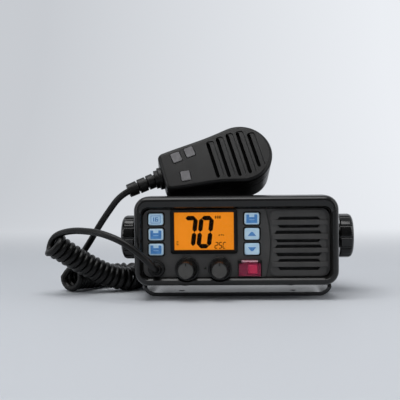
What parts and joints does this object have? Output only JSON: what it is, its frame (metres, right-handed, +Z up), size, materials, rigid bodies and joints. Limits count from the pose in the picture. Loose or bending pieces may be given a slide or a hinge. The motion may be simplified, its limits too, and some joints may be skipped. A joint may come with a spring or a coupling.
{
  "type": "marine radio",
  "caption": "Compact fixed marine radio on a tilting U bracket, with amber screen, keys, two dials, flap over the distress key, ribbed speaker grille and a fist microphone on a curly cord.",
  "frame": {"origin": "middle of the four screw holes on the bracket's underside", "axes": "+X to the right of the screen, -Y towards the user, +Z up"},
  "size_m": [0.2499, 0.1335, 0.1368],
  "materials": {
    "yoke_black_paint": "satin",
    "housing_black": "fine moulded grain",
    "panel_grey": "fine moulded grain",
    "trim_black": "semi-gloss",
    "amber_lens": "clear",
    "amber_backlight": "lit",
    "key_blue": "satin, lit from behind",
    "dial_black": "satin",
    "steel": "plated",
    "pot_zinc": "plated",
    "red_key": "gloss",
    "red_clear": "clear tinted",
    "rubber_black": "matt",
    "case_black": "powder coat",
    "board_green": "coated",
    "module_metal": "pressed",
    "cone_black": "coated",
    "socket_nickel": "nickel",
    "insert_brass": "turned",
    "mic_black": "fine moulded grain",
    "mic_key_grey": "matt"
  },
  "bodies": {
    "bracket": {"mount_bracket": "yoke_black_paint"},
    "radio": {"front_bezel": "housing_black", "control_panel": "panel_grey", "speaker_grille": "panel_grey", "window_surround": "trim_black", "display_window": "amber_lens", "display_panel": "amber_backlight", "key_surrounds": "trim_black", "front_board": "board_green", "control_pots": "pot_zinc", "distress_frame": "trim_black", "distress_cover_pin": "steel", "mic_cable_gland": "rubber_black", "rear_chassis": "case_black", "case_gasket": "rubber_black", "main_board": "board_green", "power_module": "module_metal", "speaker_frame": "pot_zinc", "speaker_cone": "cone_black", "antenna_socket": "socket_nickel", "rear_screws": "steel", "power_lead_grommet": "rubber_black", "data_lead_grommet": "rubber_black", "side_inserts": "insert_brass", "side_spacers": "rubber_black", "cord_gland_tail": "rubber_black", "cord_coil": "rubber_black", "cord_mic_tail": "rubber_black"},
    "left_clamp": {"left_clamp_knob": "dial_black", "left_clamp_screw": "steel", "left_clamp_washer": "rubber_black"},
    "right_clamp": {"right_clamp_knob": "dial_black", "right_clamp_screw": "steel", "right_clamp_washer": "rubber_black"},
    "volume_dial": {"volume_knob": "dial_black", "volume_shaft": "steel"},
    "squelch_dial": {"squelch_knob": "dial_black", "squelch_shaft": "steel"},
    "key_16": {"key_16": "key_blue"},
    "key_left_middle": {"key_left_middle": "key_blue"},
    "key_left_low": {"key_left_low": "key_blue"},
    "key_right_top": {"key_right_top": "key_blue"},
    "key_up": {"key_up": "key_blue"},
    "key_down": {"key_down": "key_blue"},
    "distress_flap": {"distress_cover": "red_clear"},
    "distress_key": {"distress_button": "red_key"},
    "microphone": {"mic_front_shell": "mic_black", "mic_rear_shell": "mic_black", "mic_gasket": "rubber_black", "mic_capsule": "pot_zinc", "mic_board": "board_green", "mic_hanger_stud": "steel", "mic_shell_screws": "steel", "mic_boot": "rubber_black"},
    "talk_button": {"mic_ptt_button": "dial_black"},
    "mic_key_a": {"mic_key_a": "mic_key_grey"},
    "mic_key_b": {"mic_key_b": "mic_key_grey"},
    "mic_key_c": {"mic_key_c": "mic_key_grey"}
  },
  "joints": [
    {"name": "radio_tilt", "type": "hinge", "parent": "bracket", "child": "radio", "pos_m": [0, 0, 0.046], "axis": [1, 0, 0], "range_deg": [-10, 10]},
    {"name": "left_clamp_turn", "type": "hinge", "parent": "radio", "child": "left_clamp", "pos_m": [-0.086, 0, 0.046], "axis": [-1, 0, 0], "range_deg": [-720, 0]},
    {"name": "right_clamp_turn", "type": "hinge", "parent": "radio", "child": "right_clamp", "pos_m": [0.086, 0, 0.046], "axis": [1, 0, 0], "range_deg": [0, 720]},
    {"name": "volume_turn", "type": "hinge", "parent": "radio", "child": "volume_dial", "pos_m": [-0.0379, -0.05, 0.0245], "axis": [0, 1, 0], "range_deg": [0, 280]},
    {"name": "squelch_turn", "type": "hinge", "parent": "radio", "child": "squelch_dial", "pos_m": [-0.0124, -0.05, 0.0245], "axis": [0, 1, 0], "range_deg": [0, 280]},
    {"name": "key_16_press", "type": "slide", "parent": "radio", "child": "key_16", "axis": [0, 1, 0], "range_m": [0, 0.001], "stiffness_N_per_m": 400, "springref_m": -0.0008},
    {"name": "key_left_middle_press", "type": "slide", "parent": "radio", "child": "key_left_middle", "axis": [0, 1, 0], "range_m": [0, 0.001], "stiffness_N_per_m": 400, "springref_m": -0.0008},
    {"name": "key_left_low_press", "type": "slide", "parent": "radio", "child": "key_left_low", "axis": [0, 1, 0], "range_m": [0, 0.001], "stiffness_N_per_m": 400, "springref_m": -0.0008},
    {"name": "key_right_top_press", "type": "slide", "parent": "radio", "child": "key_right_top", "axis": [0, 1, 0], "range_m": [0, 0.001], "stiffness_N_per_m": 400, "springref_m": -0.0008},
    {"name": "key_up_press", "type": "slide", "parent": "radio", "child": "key_up", "axis": [0, 1, 0], "range_m": [0, 0.001], "stiffness_N_per_m": 400, "springref_m": -0.0008},
    {"name": "key_down_press", "type": "slide", "parent": "radio", "child": "key_down", "axis": [0, 1, 0], "range_m": [0, 0.001], "stiffness_N_per_m": 400, "springref_m": -0.0008},
    {"name": "distress_flap_swing", "type": "hinge", "parent": "radio", "child": "distress_flap", "pos_m": [0.01045, -0.0475, 0.0301], "axis": [-1, 0, 0], "range_deg": [0, 105], "stiffness_Nm_per_rad": 0.002, "springref_deg": -17.19},
    {"name": "distress_key_press", "type": "slide", "parent": "radio", "child": "distress_key", "axis": [0, 1, 0], "range_m": [0, 0.0012], "stiffness_N_per_m": 400, "springref_m": -0.0008},
    {"name": "microphone_lift", "type": "slide", "parent": "radio", "child": "microphone", "axis": [0, 0, 1], "range_m": [0, 0.035]},
    {"name": "talk_press", "type": "slide", "parent": "microphone", "child": "talk_button", "axis": [0.4228, -0.3684, -0.828], "range_m": [0, 0.0012], "stiffness_N_per_m": 500, "springref_m": -0.001},
    {"name": "mic_key_a_press", "type": "slide", "parent": "microphone", "child": "mic_key_a", "axis": [-0.0783, 0.8954, -0.4384], "range_m": [0, 0.0008], "stiffness_N_per_m": 400, "springref_m": -0.0008},
    {"name": "mic_key_b_press", "type": "slide", "parent": "microphone", "child": "mic_key_b", "axis": [-0.0783, 0.8954, -0.4384], "range_m": [0, 0.0008], "stiffness_N_per_m": 400, "springref_m": -0.0008},
    {"name": "mic_key_c_press", "type": "slide", "parent": "microphone", "child": "mic_key_c", "axis": [-0.0783, 0.8954, -0.4384], "range_m": [0, 0.0008], "stiffness_N_per_m": 400, "springref_m": -0.0008}
  ]
}
